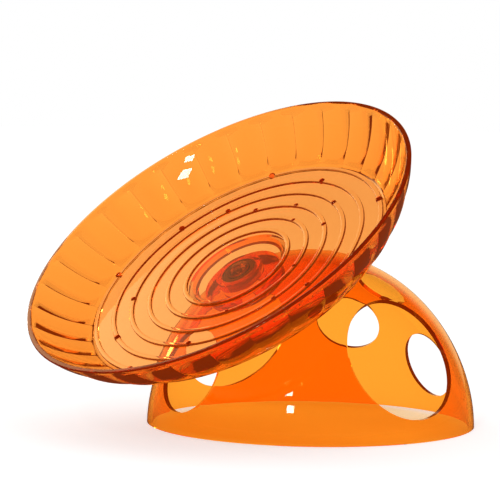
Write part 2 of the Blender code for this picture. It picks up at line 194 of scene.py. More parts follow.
@dataclass(frozen=True)
class ClearAmber:
    """Injection-moulded clear polystyrene, dyed amber.

    One wall looks amber, two look orange, and long ways inside it, as along an edge, look red brown. A
    polished mould leaves it glossy, with a faint flow ripple.
    """

    name: str = "amber_polystyrene_moulded"
    # white light after one wall
    tint: str = "ffa544"
    ior: float = 1.54
    roughness_low: float = 0.0
    roughness_high: float = 0.03
    # what is left of white light after a way of this length inside, on top of the tint
    way: float = 0.0025
    kept: tuple[float, float, float] = (0.99, 0.86, 0.7)
    # painted glow: the plastic emits a faint orange light everywhere, though it is no lamp, so that thick
    # stretches keep some orange
    painted_glow_colour: str = "ff7800"
    glow: float = 0.034
    # the deck, which is thinner than the wall round it
    deck_tint: str = "ffb262"
    # the nubs' tops, where the dye looks deeper
    nub_colour: str = "f04a1c"
    ripple_spacing_mm: float = 9.0
    ripple_strength: float = 0.02
    ripple_detail: float = 1.0

    def absorption(self) -> tuple[float, tuple[float, float, float, float]]:
        """Work the absorption's density and colour out of what is kept.

        Returns:
            The density in shares lost per metre, and the linear colour that goes with it.
        """
        losses = [-math.log(share) / self.way for share in self.kept]
        density = max(losses)
        colour = [1 - loss / density for loss in losses]
        return density, (colour[0], colour[1], colour[2], 1.0)

    def build(self) -> Material:
        """Make the material."""
        material, tree, shader = new_material(self.name)
        shader.inputs["Transmission Weight"].default_value = 1.0
        nub = add_node(tree, "ShaderNodeAttribute", {"attribute_name": "nub_tint"})
        deck = add_node(tree, "ShaderNodeAttribute", {"attribute_name": "deck_tint"})
        tint = blend(tree, "RGBA", deck.outputs["Fac"], linear(self.tint), linear(self.deck_tint))
        tint = blend(tree, "RGBA", nub.outputs["Fac"], tint, linear(self.nub_colour))
        tree.links.new(tint, shader.inputs["Base Color"])
        shader.inputs["IOR"].default_value = self.ior
        # painted glow: a faint orange emission over the whole plastic, though it is no lamp
        shader.inputs["Emission Color"].default_value = linear(self.painted_glow_colour)
        shader.inputs["Emission Strength"].default_value = self.glow
        material.cycles.emission_sampling = "NONE"
        ripple = mottle(tree, self.ripple_spacing_mm, self.ripple_detail)
        rough = spread(tree, ripple, self.roughness_low, self.roughness_high)
        bump = add_node(tree, "ShaderNodeBump", {"Strength": self.ripple_strength, "Distance": MILLIMETRE},
                        {"Height": ripple})
        tree.links.new(rough, shader.inputs["Roughness"])
        tree.links.new(bump.outputs["Normal"], shader.inputs["Normal"])
        density, colour = self.absorption()
        dye = add_node(tree, "ShaderNodeVolumeAbsorption", {"Color": colour, "Density": density})
        tree.links.new(dye.outputs["Volume"], tree.nodes["Material Output"].inputs["Volume"])
        return material


@dataclass(frozen=True)
class TurnedMetal:
    """Steel turned or ground round its axis, bare or plated.

    The tool leaves fine marks, and plating clouds them, so the gloss is broken a little.
    """

    name: str
    colour: str
    dull_colour: str
    roughness: float
    roughness_spread: float
    # real marks are finer than 0.1 mm, and are drawn coarser so that they show
    mark_spacing_mm: float = 0.4
    mark_detail: float = 3.0

    def build(self) -> Material:
        """Make the material."""
        material, tree, shader = new_material(self.name)
        shader.inputs["Metallic"].default_value = 1.0
        marks = mottle(tree, self.mark_spacing_mm, self.mark_detail)
        tint = blend(tree, "RGBA", marks, linear(self.colour), linear(self.dull_colour))
        rough = spread(tree, marks, self.roughness, self.roughness + self.roughness_spread)
        tree.links.new(tint, shader.inputs["Base Color"])
        tree.links.new(rough, shader.inputs["Roughness"])
        return material


@dataclass(frozen=True)
class MouldedNylon:
    """Natural nylon, injection moulded: off-white, waxy and faintly mottled."""

    name: str = "natural_nylon_moulded"
    colour: str = "e6dfcf"
    shade_colour: str = "d6cdb9"
    roughness: float = 0.42
    mottle_spacing_mm: float = 1.2
    mottle_detail: float = 2.0

    def build(self) -> Material:
        """Make the material."""
        material, tree, shader = new_material(self.name)
        shader.inputs["Roughness"].default_value = self.roughness
        blotches = mottle(tree, self.mottle_spacing_mm, self.mottle_detail)
        tint = blend(tree, "RGBA", blotches, linear(self.colour), linear(self.shade_colour))
        tree.links.new(tint, shader.inputs["Base Color"])
        return material


def deselect_all() -> None:
    """Leave nothing selected and no mesh in edit mode."""
    if bpy.context.mode != "OBJECT":
        bpy.ops.object.mode_set(mode="OBJECT")
    bpy.ops.object.select_all(action="DESELECT")


def pick(obj: Piece) -> None:
    """Make an object the only selected one, and the active one."""
    deselect_all()
    obj.select_set(True)
    bpy.context.view_layer.objects.active = obj


def write_place() -> None:
    """Write the selected object's place, turn and scale into its mesh."""
    bpy.ops.object.transform_apply(location=True, rotation=True, scale=True)


def arc(start: Point, end: Point, bulge: float, steps: int) -> list[Point]:
    """Return points on an arc that bulges to the right of its chord, without its first point.

    Args:
        start: The arc's first point.
        end: The arc's last point.
        bulge: How far the arc's middle stands off its chord; below zero it bulges to the left.
        steps: How many points are returned.

    Returns:
        The points after the first, the last one included.
    """
    chord = Vector(end) - Vector(start)
    half = chord.length / 2
    radius = (half * half + bulge * bulge) / (2 * abs(bulge))
    side = math.copysign(1.0, bulge)
    outward = Vector((chord.y, -chord.x)).normalized() * side
    centre = (Vector(start) + Vector(end)) / 2 - outward * (radius - abs(bulge))
    half_angle = math.asin(min(1.0, half / radius))
    points = []
    for step in range(1, steps + 1):
        angle = half_angle * (2 * step / steps - 1)
        place = centre + radius * (chord.normalized() * math.sin(angle) + outward * math.cos(angle))
        points.append((place.x, place.y))
    return points


def draw_outline(name: str, outline: Sequence[Point]) -> Piece:
    """Draw an outline in the XZ plane by extruding one vertex from point to point.

    Args:
        name: The object's name.
        outline: Points of (radius, height).

    Returns:
        The new object, left in edit mode.
    """
    deselect_all()
    radius, height = outline[0]
    bpy.ops.mesh.primitive_plane_add(size=MILLIMETRE, location=(0.0, 0.0, 0.0))
    obj = bpy.context.active_object
    obj.name = name
    bpy.ops.object.mode_set(mode="EDIT")
    bpy.ops.mesh.select_all(action="SELECT")
    bpy.ops.mesh.merge(type="CENTER")
    bpy.ops.transform.translate(value=(radius, 0.0, height))
    for next_radius, next_height in outline[1:]:
        step = (next_radius - radius, 0.0, next_height - height)
        bpy.ops.mesh.extrude_region_move(TRANSFORM_OT_translate={"value": step})
        radius, height = next_radius, next_height
    return obj


def turned(name: str, outline: Sequence[Point], steps: int, ring: bool = False) -> Piece:
    """Draw an outline and spin it a full turn round Z into a closed piece.

    Args:
        name: The piece's name.
        outline: Points of (radius, height).
        steps: How many segments the full turn has.
        ring: True where the outline closes on itself, and False where both its ends lie on the axis.

    Returns:
        The new object.
    """
    points = list(outline) + ([outline[0]] if ring else [])
    obj = draw_outline(name, points)
    bpy.ops.mesh.select_all(action="SELECT")
    bpy.ops.mesh.remove_doubles(threshold=WELD)
    bpy.ops.mesh.spin(steps=steps, angle=math.tau, center=(0.0, 0.0, 0.0), axis=(0.0, 0.0, 1.0))
    bpy.ops.mesh.select_all(action="SELECT")
    bpy.ops.mesh.remove_doubles(threshold=WELD)
    bpy.ops.mesh.normals_make_consistent(inside=False)
    bpy.ops.object.mode_set(mode="OBJECT")
    return obj


def lay_out(obj: Piece, place: Matrix) -> None:
    """Move a piece to its place and write the place into its mesh."""
    pick(obj)
    obj.matrix_world = place
    write_place()


def cut_or_join(obj: Piece, tool: Piece, operation: str) -> None:
    """Apply a Boolean of the tool to the piece, and delete the tool.

    Args:
        obj: The piece.
        tool: The solid that cuts it or is joined to it.
        operation: DIFFERENCE or UNION.
    """
    pick(obj)
    step = obj.modifiers.new(tool.name, "BOOLEAN")
    step.operation = operation
    step.solver = "EXACT"
    step.object = tool
    bpy.ops.object.modifier_apply(modifier=step.name)
    bpy.data.objects.remove(tool, do_unlink=True)


def shade(obj: Piece, angle: float) -> None:
    """Shade a piece smooth, with edges sharper than the angle left sharp and large faces kept flat."""
    pick(obj)
    bpy.ops.object.shade_smooth_by_angle(angle=math.radians(angle))
    flat = obj.modifiers.new("large_faces_flat", "WEIGHTED_NORMAL")
    flat.keep_sharp = True
    bpy.ops.object.modifier_apply(modifier=flat.name)


def finish_piece(obj: Piece, material: Material, body: Body, slot: Slot, replaced: str) -> None:
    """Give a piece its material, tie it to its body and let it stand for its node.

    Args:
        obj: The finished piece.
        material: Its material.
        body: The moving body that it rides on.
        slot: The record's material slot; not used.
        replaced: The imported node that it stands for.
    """
    obj.data.materials.clear()
    obj.data.materials.append(material)
    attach(obj, body.value)
    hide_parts(replaced)
    log.info("%s: %d faces, on %s", obj.name, len(obj.data.polygons), body.value)


@dataclass
class HouseShell:
    """The domed house, open underneath, with its doors, windows and bearing seat."""

    radius: float = 0.0719
    height: float = 0.0752
    wall: float = 0.002
    power: float = 1.85
    doors_centre: float = 0.005
    side_door: float = 0.028
    front_door: float = 0.0187
    window: float = 0.016
    top_window: float = 0.0132
    # cutters start and end at these shares of the house's radius
    cut_shares: tuple[float, float] = (0.7, 1.2)
    # the seat's levels are along the spin axis, from the deck's upper side
    pad_radius: float = 0.0175
    pad_top: float = -0.007
    pad_foot: float = -0.0133
    cup_radius: float = 0.0105
    cup_top: float = -0.003
    ledge_radius: float = 0.0102
    ledge_top: float = -0.0084
    ledge_foot: float = -0.0147
    pocket_radius: float = 0.0083
    bore_radius: float = 0.0056
    overrun: float = 0.003
    segments: int = 192
    arc_steps: int = 40
    door_segments: int = 96

    def doors(self) -> tuple[tuple[float, float, float], ...]:
        """Return each opening's radius, turn from the front towards +X, and climb, in degrees."""
        return (
            (self.side_door, 86.0, 26.5),
            (self.side_door, -97.0, 25.5),
            (self.front_door, -6.5, 18.5),
            (self.window, -151.5, 31.5),
            (self.window, 170.5, 15.0),
            (self.top_window, 173.0, 53.5),
        )

    def curve(self, radius: float, height: float) -> list[Point]:
        """Return a dome's quarter curve from its foot to its top."""
        points = []
        for step in range(self.arc_steps):
            share = math.sin(math.pi / 2 * step / self.arc_steps)
            points.append((radius * math.sqrt(1 - share**self.power), height * share))
        return points + [(0.0, height)]

    def shell(self) -> Piece:
        """Return the plain dome."""
        outside = self.curve(self.radius, self.height)
        inside = self.curve(self.radius - self.wall, self.height - self.wall)
        return turned("house_shell", outside[::-1] + inside, self.segments)

    def cutter(self, radius: float, turn: float, climb: float) -> Piece:
        """Return a round cutter that widens outwards, so that it meets the shell squarely."""
        start, end = (share * self.radius for share in self.cut_shares)
        slope = math.tan(math.asin(radius / self.radius))
        deselect_all()
        bpy.ops.mesh.primitive_cone_add(
            vertices=self.door_segments, radius1=start * slope, radius2=end * slope, depth=end - start)
        tool = bpy.context.active_object
        tool.name = "door_cutter"
        aim = Matrix.Rotation(math.radians(turn), 4, "Z") @ Matrix.Rotation(math.radians(90 - climb), 4, "X")
        lift = Matrix.Translation((0.0, 0.0, (start + end) / 2))
        lay_out(tool, Matrix.Translation((0.0, 0.0, self.doors_centre)) @ aim @ lift)
        return tool

    def seat(self) -> Piece:
        """Return the bearing seat: a boss inside the house, a pad on its skin and a cup."""
        outline = [(0.0, self.ledge_foot), (self.ledge_radius, self.ledge_foot)]
        outline += [(self.ledge_radius, self.pad_foot), (self.pad_radius, self.pad_foot)]
        outline += [(self.pad_radius, self.pad_top), (self.cup_radius, self.pad_top)]
        outline += [(self.cup_radius, self.cup_top), (0.0, self.cup_top)]
        return turned("seat_solid", outline, self.door_segments)

    def pocket(self) -> Piece:
        """Return the cutter for the bearing's pocket and the bore through its ledge."""
        low = self.ledge_foot - self.overrun
        high = self.cup_top + self.overrun
        outline = [(0.0, low), (self.bore_radius, low), (self.bore_radius, self.ledge_top)]
        outline += [(self.pocket_radius, self.ledge_top), (self.pocket_radius, high), (0.0, high)]
        return turned("pocket_cutter", outline, self.door_segments)

    def build(self, upright: Matrix, axis: Matrix) -> Piece:
        """Build the house.

        Args:
            upright: Where the house's centre stands on the floor.
            axis: The deck's centre, with Z along the spin axis.

        Returns:
            The house.
        """
        house = self.shell()
        for radius, turn, climb in self.doors():
            cut_or_join(house, self.cutter(radius, turn, climb), "DIFFERENCE")
        lay_out(house, upright)
        seat = self.seat()
        lay_out(seat, axis)
        cut_or_join(house, seat, "UNION")
        pocket = self.pocket()
        lay_out(pocket, axis)
        cut_or_join(house, pocket, "DIFFERENCE")
        shade(house, EDGE_ANGLE)
        return house

    def dress(self, house: Piece, amber: Material) -> None:
        """Finish the house in clear amber."""
        finish_piece(house, amber, Body.HOUSE, Slot.AMBER, "hideout_dome")


@dataclass
class SaucerShell:
    """The running saucer: deck with beads and nubs, fluted wall, hub skirt and stub shaft."""

    rim_radius: float = 0.090
    rim_rise: float = 0.0207
    rim_round: float = 0.0005
    foot_radius: float = 0.0707
    foot_inset: float = 0.002
    fillet_reach: float = 0.0024
    fillet_rise: float = 0.0016
    fillet_bulge: float = 0.00022
    deck: float = 0.0025
    rim_width: float = 0.0024
    outer_bulge: float = 0.0022
    inner_bulge: float = 0.0015
    # beads
    beads: int = 6
    first_bead: float = 0.0243
    bead_pitch: float = 0.0086
    bead_half_width: float = 0.0011
    bead_height: float = 0.0008
    bead_steps: int = 12
    # the power of the bead's section: 2 is half round, and more is flatter on top
    bead_power: float = 5.0
    # nubs
    outer_nub: float = 0.0016
    inner_nub: float = 0.0008
    # a nub is a dome that stands this much higher than its radius
    nub_stand: float = 0.0003
    nub_sink: float = 0.0006
    nub_round_share: float = 0.86
    nub_segments: int = 7
    nub_sides: int = 24
    nub_top_facing: float = 0.5
    # faces this much higher than the deck, and this close to a nub by its radius, are nub faces
    tint_gap: float = 0.00005
    tint_reach: float = 1.02
    # flutes
    panels: int = 32
    columns: int = 14
    wall_steps: int = 34
    joint_depth: float = 0.00007
    joint_share: float = 0.03
    crown: float = 0.0009
    flute_top: float = 0.0188
    flute_fade: float = 0.0014
    lobe_depth: float = 0.0004
    lobe_share: float = 0.2
    lobe_edge_share: float = 0.04
    column_crowding: float = 0.9
    # hub
    skirt_root: float = 0.0232
    skirt_foot: float = 0.0213
    skirt_depth: float = 0.0022
    skirt_wall: float = 0.0018
    shoulder_radius: float = 0.005
    shoulder_level: float = -0.003
    shaft_radius: float = 0.0037
    shaft_end: float = -0.008
    pilot_radius: float = 0.0016
    pilot_end: float = -0.0012
    # steps round the rim's edges, up the inside and over the fillet, and the shading's sharpest angle
    rim_steps: int = 3
    inside_steps: int = 14
    fillet_steps: int = 5
    edge_angle: float = 35.0

    def nub_turns(self) -> tuple[tuple[int, tuple[float, ...]], ...]:
        """Return each bead's number from the middle and its nubs' turns, from the low side towards +X."""
        return (
            (2, (34.0, 96.0, 165.0)),
            (3, (66.0, 137.0, 177.0, 208.0)),
            (4, (16.0, 82.0, 153.0, 226.0, 302.0)),
            (5, (176.0, 249.0, 329.0)),
            (6, (136.0, 206.0, 281.0, 355.5)),
        )

    def bead_radius(self, number: int) -> float:
        """Return a bead's radius, counted from the middle."""
        return self.first_bead + self.bead_pitch * (number - 1)

    def deck_outline(self) -> list[Point]:
        """Return the deck's upper side from the middle over its beads."""
        points = [(0.0, 0.0)]
        for number in range(1, self.beads + 1):
            for step in range(self.bead_steps + 1):
                angle = math.pi * (1 - step / self.bead_steps)
                across = math.copysign(abs(math.cos(angle)) ** (2 / self.bead_power), math.cos(angle))
                rise = math.sin(angle) ** (2 / self.bead_power) if 0 < step < self.bead_steps else 0.0
                radius = self.bead_radius(number) + self.bead_half_width * across
                points.append((radius, self.bead_height * rise))
        return points

    def wall_outline(self) -> list[Point]:
        """Return the wall's section up its inside, over the rim and down its outside."""
        fillet = (self.foot_radius - self.foot_inset - self.fillet_bulge, 0.0)
        inner_foot = (fillet[0] + self.fillet_reach, self.fillet_rise)
        inner_rim = (self.rim_radius - self.rim_width, self.rim_rise - self.rim_round)
        outer_foot = (self.foot_radius, -self.deck)
        outer_rim = (self.rim_radius, self.rim_rise - self.rim_round)
        top_in = (self.rim_radius - self.rim_width + self.rim_round, self.rim_rise)
        top_out = (self.rim_radius - self.rim_round, self.rim_rise)
        points = [fillet] + arc(fillet, inner_foot, self.fillet_bulge, self.fillet_steps)
        points += arc(inner_foot, inner_rim, self.inner_bulge, self.inside_steps)
        corner = -self.rim_round * QUARTER_BULGE
        points += arc(inner_rim, top_in, corner, self.rim_steps)
        points += [top_out] + arc(top_out, outer_rim, corner, self.rim_steps)
        return points + arc(outer_rim, outer_foot, -self.outer_bulge, self.wall_steps)

    def hub_outline(self) -> list[Point]:
        """Return the underside from the tapered skirt in to the stub shaft's pilot hole."""
        under = -self.deck
        foot = under - self.skirt_depth
        return [
            (self.skirt_root, under),
            (self.skirt_foot, foot),
            (self.skirt_foot - self.skirt_wall, foot),
            (self.skirt_root - self.skirt_wall, under),
            (self.shoulder_radius, under),
            (self.shoulder_radius, self.shoulder_level),
            (self.shaft_radius, self.shoulder_level),
            (self.shaft_radius, self.shaft_end),
            (self.pilot_radius, self.shaft_end),
            (self.pilot_radius, self.pilot_end),
            (0.0, self.pilot_end),
        ]

    def crowd(self, turn: float) -> tuple[float, float]:
        """Crowd the columns towards the joints between panels.

        Args:
            turn: A column's even turn from the low side, in radians.

        Returns:
            The crowded turn, and the place across the panel from -1 to 1.
        """
        pitch = math.tau / self.panels
        number = math.floor(turn / pitch + 0.5)
        across = 2 * (turn / pitch - number)
        crowded = across + self.column_crowding * math.sin(math.pi * across) / math.pi
        return (number + crowded / 2) * pitch, crowded

    def flute_depth(self, across: float, level: float) -> float:
        """Return how deep the outer wall is drawn in.

        Args:
            across: The place across the panel, -1 and 1 at its joints.
            level: The height over the deck's upper side.

        Returns:
            The depth in metres.
        """
        side = abs(across)
        share = (level + self.deck) / (self.rim_rise + self.deck)
        joint = max(0.0, 1 - (1 - side) / self.joint_share)
        head = min(1.0, max(0.0, (self.flute_top - level) / self.flute_fade))
        head = head * head * (3 - 2 * head)
        foot = min(1.0, max(0.0, share / self.lobe_share)) ** 0.5
        depth = (self.joint_depth * joint + self.crown * side * side) * head * foot
        lobe_foot = self.lobe_share * (1 - math.sqrt(max(0.0, 1 - side * side)))
        rise = (share - lobe_foot - self.lobe_edge_share) / self.lobe_edge_share
        inside_lobe = min(1.0, max(0.0, rise))
        foot_fade = min(1.0, max(0.0, share / self.lobe_edge_share))
        return depth + self.lobe_depth * (1 - inside_lobe) * foot_fade

    def flute(self, obj: Piece) -> None:
        """Crowd the columns and draw the outer wall in, panel by panel."""
        height = self.rim_rise + self.deck
        for vert in obj.data.vertices:
            radius = math.hypot(vert.co.x, vert.co.y)
            if radius < self.foot_radius - self.foot_inset * 2:
                continue
            turn, across = self.crowd(math.atan2(vert.co.x, -vert.co.y))
            share = (vert.co.z + self.deck) / height
            middle = self.foot_radius + (self.rim_radius - self.foot_radius) * share
            if radius > middle and share > 0.0:
                radius -= self.flute_depth(across, vert.co.z)
            vert.co.x = radius * math.sin(turn)
            vert.co.y = -radius * math.cos(turn)

    def nub_places(self) -> list[tuple[float, float, float]]:
        """Return each nub's radius and its place on the deck."""
        places = []
        for number, turns in self.nub_turns():
            share = (number - 1) / (self.beads - 1)
            radius = self.inner_nub + (self.outer_nub - self.inner_nub) * share
            ring = self.bead_radius(number)
            for turn in turns:
                angle = math.radians(turn)
                places.append((radius, ring * math.sin(angle), -ring * math.cos(angle)))
        return places

    def nub(self, radius: float, x: float, y: float) -> Piece:
        """Return one nub: a short cylinder with its upper edge rounded to a dome."""
        deselect_all()
        height = radius + self.nub_stand + self.nub_sink
        centre = (x, y, height / 2 - self.nub_sink)
        bpy.ops.mesh.primitive_cylinder_add(
            vertices=self.nub_sides, radius=radius, depth=height, location=centre)
        nub = bpy.context.active_object
        nub.name = "nub_solid"
        for vert in nub.data.vertices:
            vert.select = vert.co.z > 0
        for edge in nub.data.edges:
            edge.select = all(nub.data.vertices[number].select for number in edge.vertices)
        for face in nub.data.polygons:
            face.select = face.normal.z > self.nub_top_facing
        bpy.ops.object.mode_set(mode="EDIT")
        bpy.ops.mesh.bevel(offset=radius * self.nub_round_share, segments=self.nub_segments, affect="EDGES")
        bpy.ops.object.mode_set(mode="OBJECT")
        write_place()
        return nub

    def on_nub(self, point: Vector, places: Sequence[tuple[float, float, float]]) -> bool:
        """Return whether a point of the deck's upper side belongs to one of the nubs."""
        return any(math.hypot(point.x - x, point.y - y) < radius * self.tint_reach for radius, x, y in places)

    def add_nubs(self, obj: Piece) -> None:
        """Join the round nubs to the beads, and mark their faces for the deeper tint."""
        places = self.nub_places()
        nubs = [self.nub(*place) for place in places]
        deselect_all()
        for nub in nubs:
            nub.select_set(True)
        bpy.context.view_layer.objects.active = nubs[0]
        bpy.ops.object.join()
        cut_or_join(obj, nubs[0], "UNION")
        nub_tint = obj.data.attributes.new("nub_tint", "FLOAT", "FACE")
        deck_tint = obj.data.attributes.new("deck_tint", "FLOAT", "FACE")
        for face in obj.data.polygons:
            if face.center.xy.length > self.foot_radius - self.foot_inset:
                continue
            deck_tint.data[face.index].value = 1.0
            if face.center.z > self.tint_gap and self.on_nub(face.center, places):
                nub_tint.data[face.index].value = 1.0

    def build(self, axis: Matrix) -> Piece:
        """Build the saucer and lay it over to the spin axis."""
        outline = self.deck_outline() + self.wall_outline() + self.hub_outline()
        saucer = turned("saucer_shell", outline, self.panels * self.columns)
        self.flute(saucer)
        self.add_nubs(saucer)
        lay_out(saucer, axis)
        shade(saucer, self.edge_angle)
        return saucer

    def dress(self, saucer: Piece, amber: Material) -> None:
        """Finish the saucer in clear amber."""
        finish_piece(saucer, amber, Body.SAUCER, Slot.AMBER, "running_saucer")


@dataclass
class HubBearing:
    """The ball bearing between the stub shaft and the cup, with levels from its middle plane."""

    middle_level: float = -0.0057
    bore: float = 0.004
    outside: float = 0.008
    width: float = 0.005
    ball: float = 0.0011
    balls: int = 9
    land: float = 0.0011
    groove_gap: float = 0.0002
    cage_gap: float = 0.0003
    cage_foot: float = 0.0016
    cage_head: float = 0.0004
    shield_inset: float = 0.0002
    shield_thickness: float = 0.0003
    shield_seat: float = 0.0004
    shield_gap: float = 0.0001
    chamfer: float = 0.0002
    segments: int = 96
    groove_steps: int = 8

    def pitch(self) -> float:
        """Return the radius of the circle that the balls' centres lie on."""
        return (self.bore + self.outside) / 2

    def groove(self, facing: int) -> list[Point]:
        """Return the ball groove's arc on the inner (-1) or outer (1) race, from low to high."""
        land = self.bore + self.land if facing < 0 else self.outside - self.land
        radius = self.ball + self.groove_gap
        reach = math.acos(abs(land - self.pitch()) / radius)
        points = []
        for step in range(self.groove_steps + 1):
            angle = reach * (2 * step / self.groove_steps - 1)
            points.append((self.pitch() + facing * radius * math.cos(angle), radius * math.sin(angle)))
        return points

    def inner_race(self) -> Piece:
        """Return the inner race, with its bore's edges broken."""
        half = self.width / 2
        land = self.bore + self.land
        outline = [(self.bore, -half + self.chamfer), (self.bore + self.chamfer, -half), (land, -half)]
        outline += self.groove(-1) + [(land, half), (self.bore + self.chamfer, half)]
        outline.append((self.bore, half - self.chamfer))
        return turned("inner_race", outline, self.segments, ring=True)

    def outer_race(self) -> Piece:
        """Return the outer race, stepped for its shields and with its outer edges broken."""
        half = self.width / 2
        land = self.outside - self.land
        step = land + self.shield_seat
        level = half - self.shield_inset - self.shield_thickness - self.shield_gap
        outline = [(self.outside - self.chamfer, -half), (step, -half), (step, -level), (land, -level)]
        outline += self.groove(1) + [(land, level), (step, level), (step, half)]
        outline += [(self.outside - self.chamfer, half), (self.outside, half - self.chamfer)]
        outline.append((self.outside, -half + self.chamfer))
        return turned("outer_race", outline, self.segments, ring=True)

    def shield(self, name: str, side: int) -> Piece:
        """Return the dust shield at the upper (1) or lower (-1) face, pressed with a shallow step."""
        far = side * (self.width / 2 - self.shield_inset)
        near = far - side * self.shield_thickness
        inner = self.bore + self.land + self.cage_gap
        outer = self.outside - self.land + self.shield_seat - self.groove_gap
        middle = (inner + outer) / 2
        dip = side * self.shield_gap
        outline = [(inner, near - dip), (middle, near - dip), (middle + self.chamfer, near), (outer, near)]
        outline += [(outer, far), (middle + self.chamfer, far), (middle, far - dip), (inner, far - dip)]
        return turned(name, outline, self.segments, ring=True)

    def ball_places(self) -> list[Vector]:
        """Return the balls' places on the pitch circle."""
        places = []
        for index in range(self.balls):
            angle = math.tau * index / self.balls
            places.append(Vector((self.pitch() * math.sin(angle), -self.pitch() * math.cos(angle), 0.0)))
        return places

    def sphere(self, name: str, radius: float, place: Vector) -> Piece:
        """Return a ball at its place."""
        deselect_all()
        bpy.ops.mesh.primitive_ico_sphere_add(subdivisions=4, radius=radius, location=place)
        ball = bpy.context.active_object
        ball.name = name
        write_place()
        return ball

    def cage(self) -> Piece:
        """Return the crown cage, with a pocket for each ball."""
        inner = self.bore + self.land + self.cage_gap
        outer = self.outside - self.land - self.cage_gap
        outline = [(inner, -self.cage_foot), (outer, -self.cage_foot)]
        outline += [(outer, self.cage_head), (inner, self.cage_head)]
        cage = turned("ball_cage", outline, self.segments, ring=True)
        for place in self.ball_places():
            pocket = self.sphere("pocket_cutter", self.ball + self.groove_gap, place)
            cut_or_join(cage, pocket, "DIFFERENCE")
        return cage

    def build(self, axis: Matrix) -> dict[str, Piece]:
        """Build the bearing.

        Args:
            axis: The deck's centre, with Z along the spin axis.

        Returns:
            Its pieces by the node that each stands for.
        """
        pieces = {
            "bearing_inner_race": self.inner_race(),
            "bearing_outer_race": self.outer_race(),
            "bearing_upper_shield": self.shield("upper_shield", 1),
            "bearing_lower_shield": self.shield("lower_shield", -1),
            "bearing_ball_cage": self.cage(),
        }
        for index, place in enumerate(self.ball_places(), start=1):
            pieces[f"bearing_ball_{index}"] = self.sphere(f"ball_{index}", self.ball, place)
        for piece in pieces.values():
            lay_out(piece, axis @ Matrix.Translation((0.0, 0.0, self.middle_level)))
            shade(piece, EDGE_ANGLE)
        return pieces

    def dress(self, pieces: dict[str, Piece], steel: Material, zinc: Material, nylon: Material) -> None:
        """Finish the races and balls in steel, the shields in zinc and the cage in nylon."""
        kinds = {
            "cage": (nylon, Body.CAGE, Slot.NYLON),
            "ball": (steel, Body.CAGE, Slot.STEEL),
            "shield": (zinc, Body.HOUSE, Slot.ZINC),
            "outer": (steel, Body.HOUSE, Slot.STEEL),
            "inner": (steel, Body.SAUCER, Slot.STEEL),
        }
        for node, piece in pieces.items():
            kind = next(word for word in kinds if word in node)
            finish_piece(piece, *kinds[kind], node)


@dataclass
class HubFastener:
    """The pan-head screw and its washer, with levels from the deck's upper side."""

    screw_radius: float = 0.0013
    screw_length: float = 0.0078
    head_radius: float = 0.0032
    head_height: float = 0.0021
    head_round: float = 0.0007
    head_steps: int = 6
    head_top: float = -0.0093
    cross_reach: float = 0.0018
    cross_width: float = 0.0007
    cross_depth: float = 0.0012
    washer_radius: float = 0.005
    washer_bore: float = 0.0016
    washer_top: float = -0.0084
    washer_thickness: float = 0.0007
    washer_edge: float = 0.00015
    thread_pitch: float = 0.0008
    thread_depth: float = 0.00025
    segments: int = 64

    def screw(self) -> Piece:
        """Return the screw with a rounded head, thread grooves and a cross recess."""
        low = self.head_top - self.head_height
        outline = [(0.0, low), (self.head_radius - self.head_round, low)]
        edge = (self.head_radius, low + self.head_round)
        outline += arc(outline[-1], edge, self.head_round * QUARTER_BULGE, self.head_steps)
        outline += [(self.head_radius, self.head_top), (self.screw_radius, self.head_top)]
        level = self.head_top + self.thread_pitch / 2
        end = self.head_top + self.screw_length - self.screw_radius
        while level + self.thread_pitch < end:
            outline.append((self.screw_radius - self.thread_depth, level))
            outline.append((self.screw_radius, level + self.thread_pitch / 2))
            level += self.thread_pitch
        outline += [(self.screw_radius, end), (0.0, self.head_top + self.screw_length)]
        screw = turned("screw_with_cross", outline, self.segments)
        for size in ((self.cross_reach, self.cross_width), (self.cross_width, self.cross_reach)):
            cut_or_join(screw, self.bar(size, low), "DIFFERENCE")
        return screw

    def bar(self, size: tuple[float, float], level: float) -> Piece:
        """Return one bar of the cross recess's cutter."""
        deselect_all()
        scale = (size[0], size[1], self.cross_depth * 2)
        bpy.ops.mesh.primitive_cube_add(size=1.0, location=(0.0, 0.0, level), scale=scale)
        tool = bpy.context.active_object
        tool.name = "bar_cutter"
        write_place()
        return tool

    def washer(self) -> Piece:
        """Return the washer, with the rounded edge that stamping leaves."""
        low = self.washer_top - self.washer_thickness
        edge = self.washer_edge
        outline = [(self.washer_bore, low), (self.washer_radius - edge, low)]
        outline.append((self.washer_radius, low + edge))
        outline += [(self.washer_radius, self.washer_top), (self.washer_bore, self.washer_top)]
        return turned("flat_washer", outline, self.segments, ring=True)

    def build(self, axis: Matrix) -> dict[str, Piece]:
        """Build the screw and the washer, by the node that each stands for."""
        pieces = {"hub_screw": self.screw(), "hub_washer": self.washer()}
        for piece in pieces.values():
            lay_out(piece, axis)
            shade(piece, EDGE_ANGLE)
        return pieces

    def dress(self, pieces: dict[str, Piece], zinc: Material) -> None:
        """Finish both pieces in bright zinc."""
        for node, piece in pieces.items():
            finish_piece(piece, zinc, Body.SAUCER, Slot.ZINC, node)


def direction(heading: float, climb: float) -> Vector:
    """Return the direction at a heading from the front towards +X and a height angle, in degrees."""
    turn, rise = math.radians(heading), math.radians(climb)
    return Vector((math.sin(turn) * math.cos(rise), -math.cos(turn) * math.cos(rise), math.sin(rise)))


@dataclass(frozen=True)
class SoftBox:
    """One studio lamp: a rectangle that faces the object."""

    name: str
    heading: float
    climb: float
    distance: float
    width: float
    height: float
    radiance: float

    def build(self, target: Vector) -> None:
        """Hang the lamp so that it faces the target."""
        aim = direction(self.heading, self.climb)
        lamp = bpy.data.lights.new(self.name, "AREA")
        lamp.shape = "RECTANGLE"
        lamp.size = self.width
        lamp.size_y = self.height
        lamp.energy = self.radiance * math.pi * self.width * self.height
        holder = bpy.data.objects.new(self.name, lamp)
        bpy.context.scene.collection.objects.link(holder)
        holder.location = target + aim * self.distance
        holder.rotation_euler = (-aim).to_track_quat("-Z", "Y").to_euler()


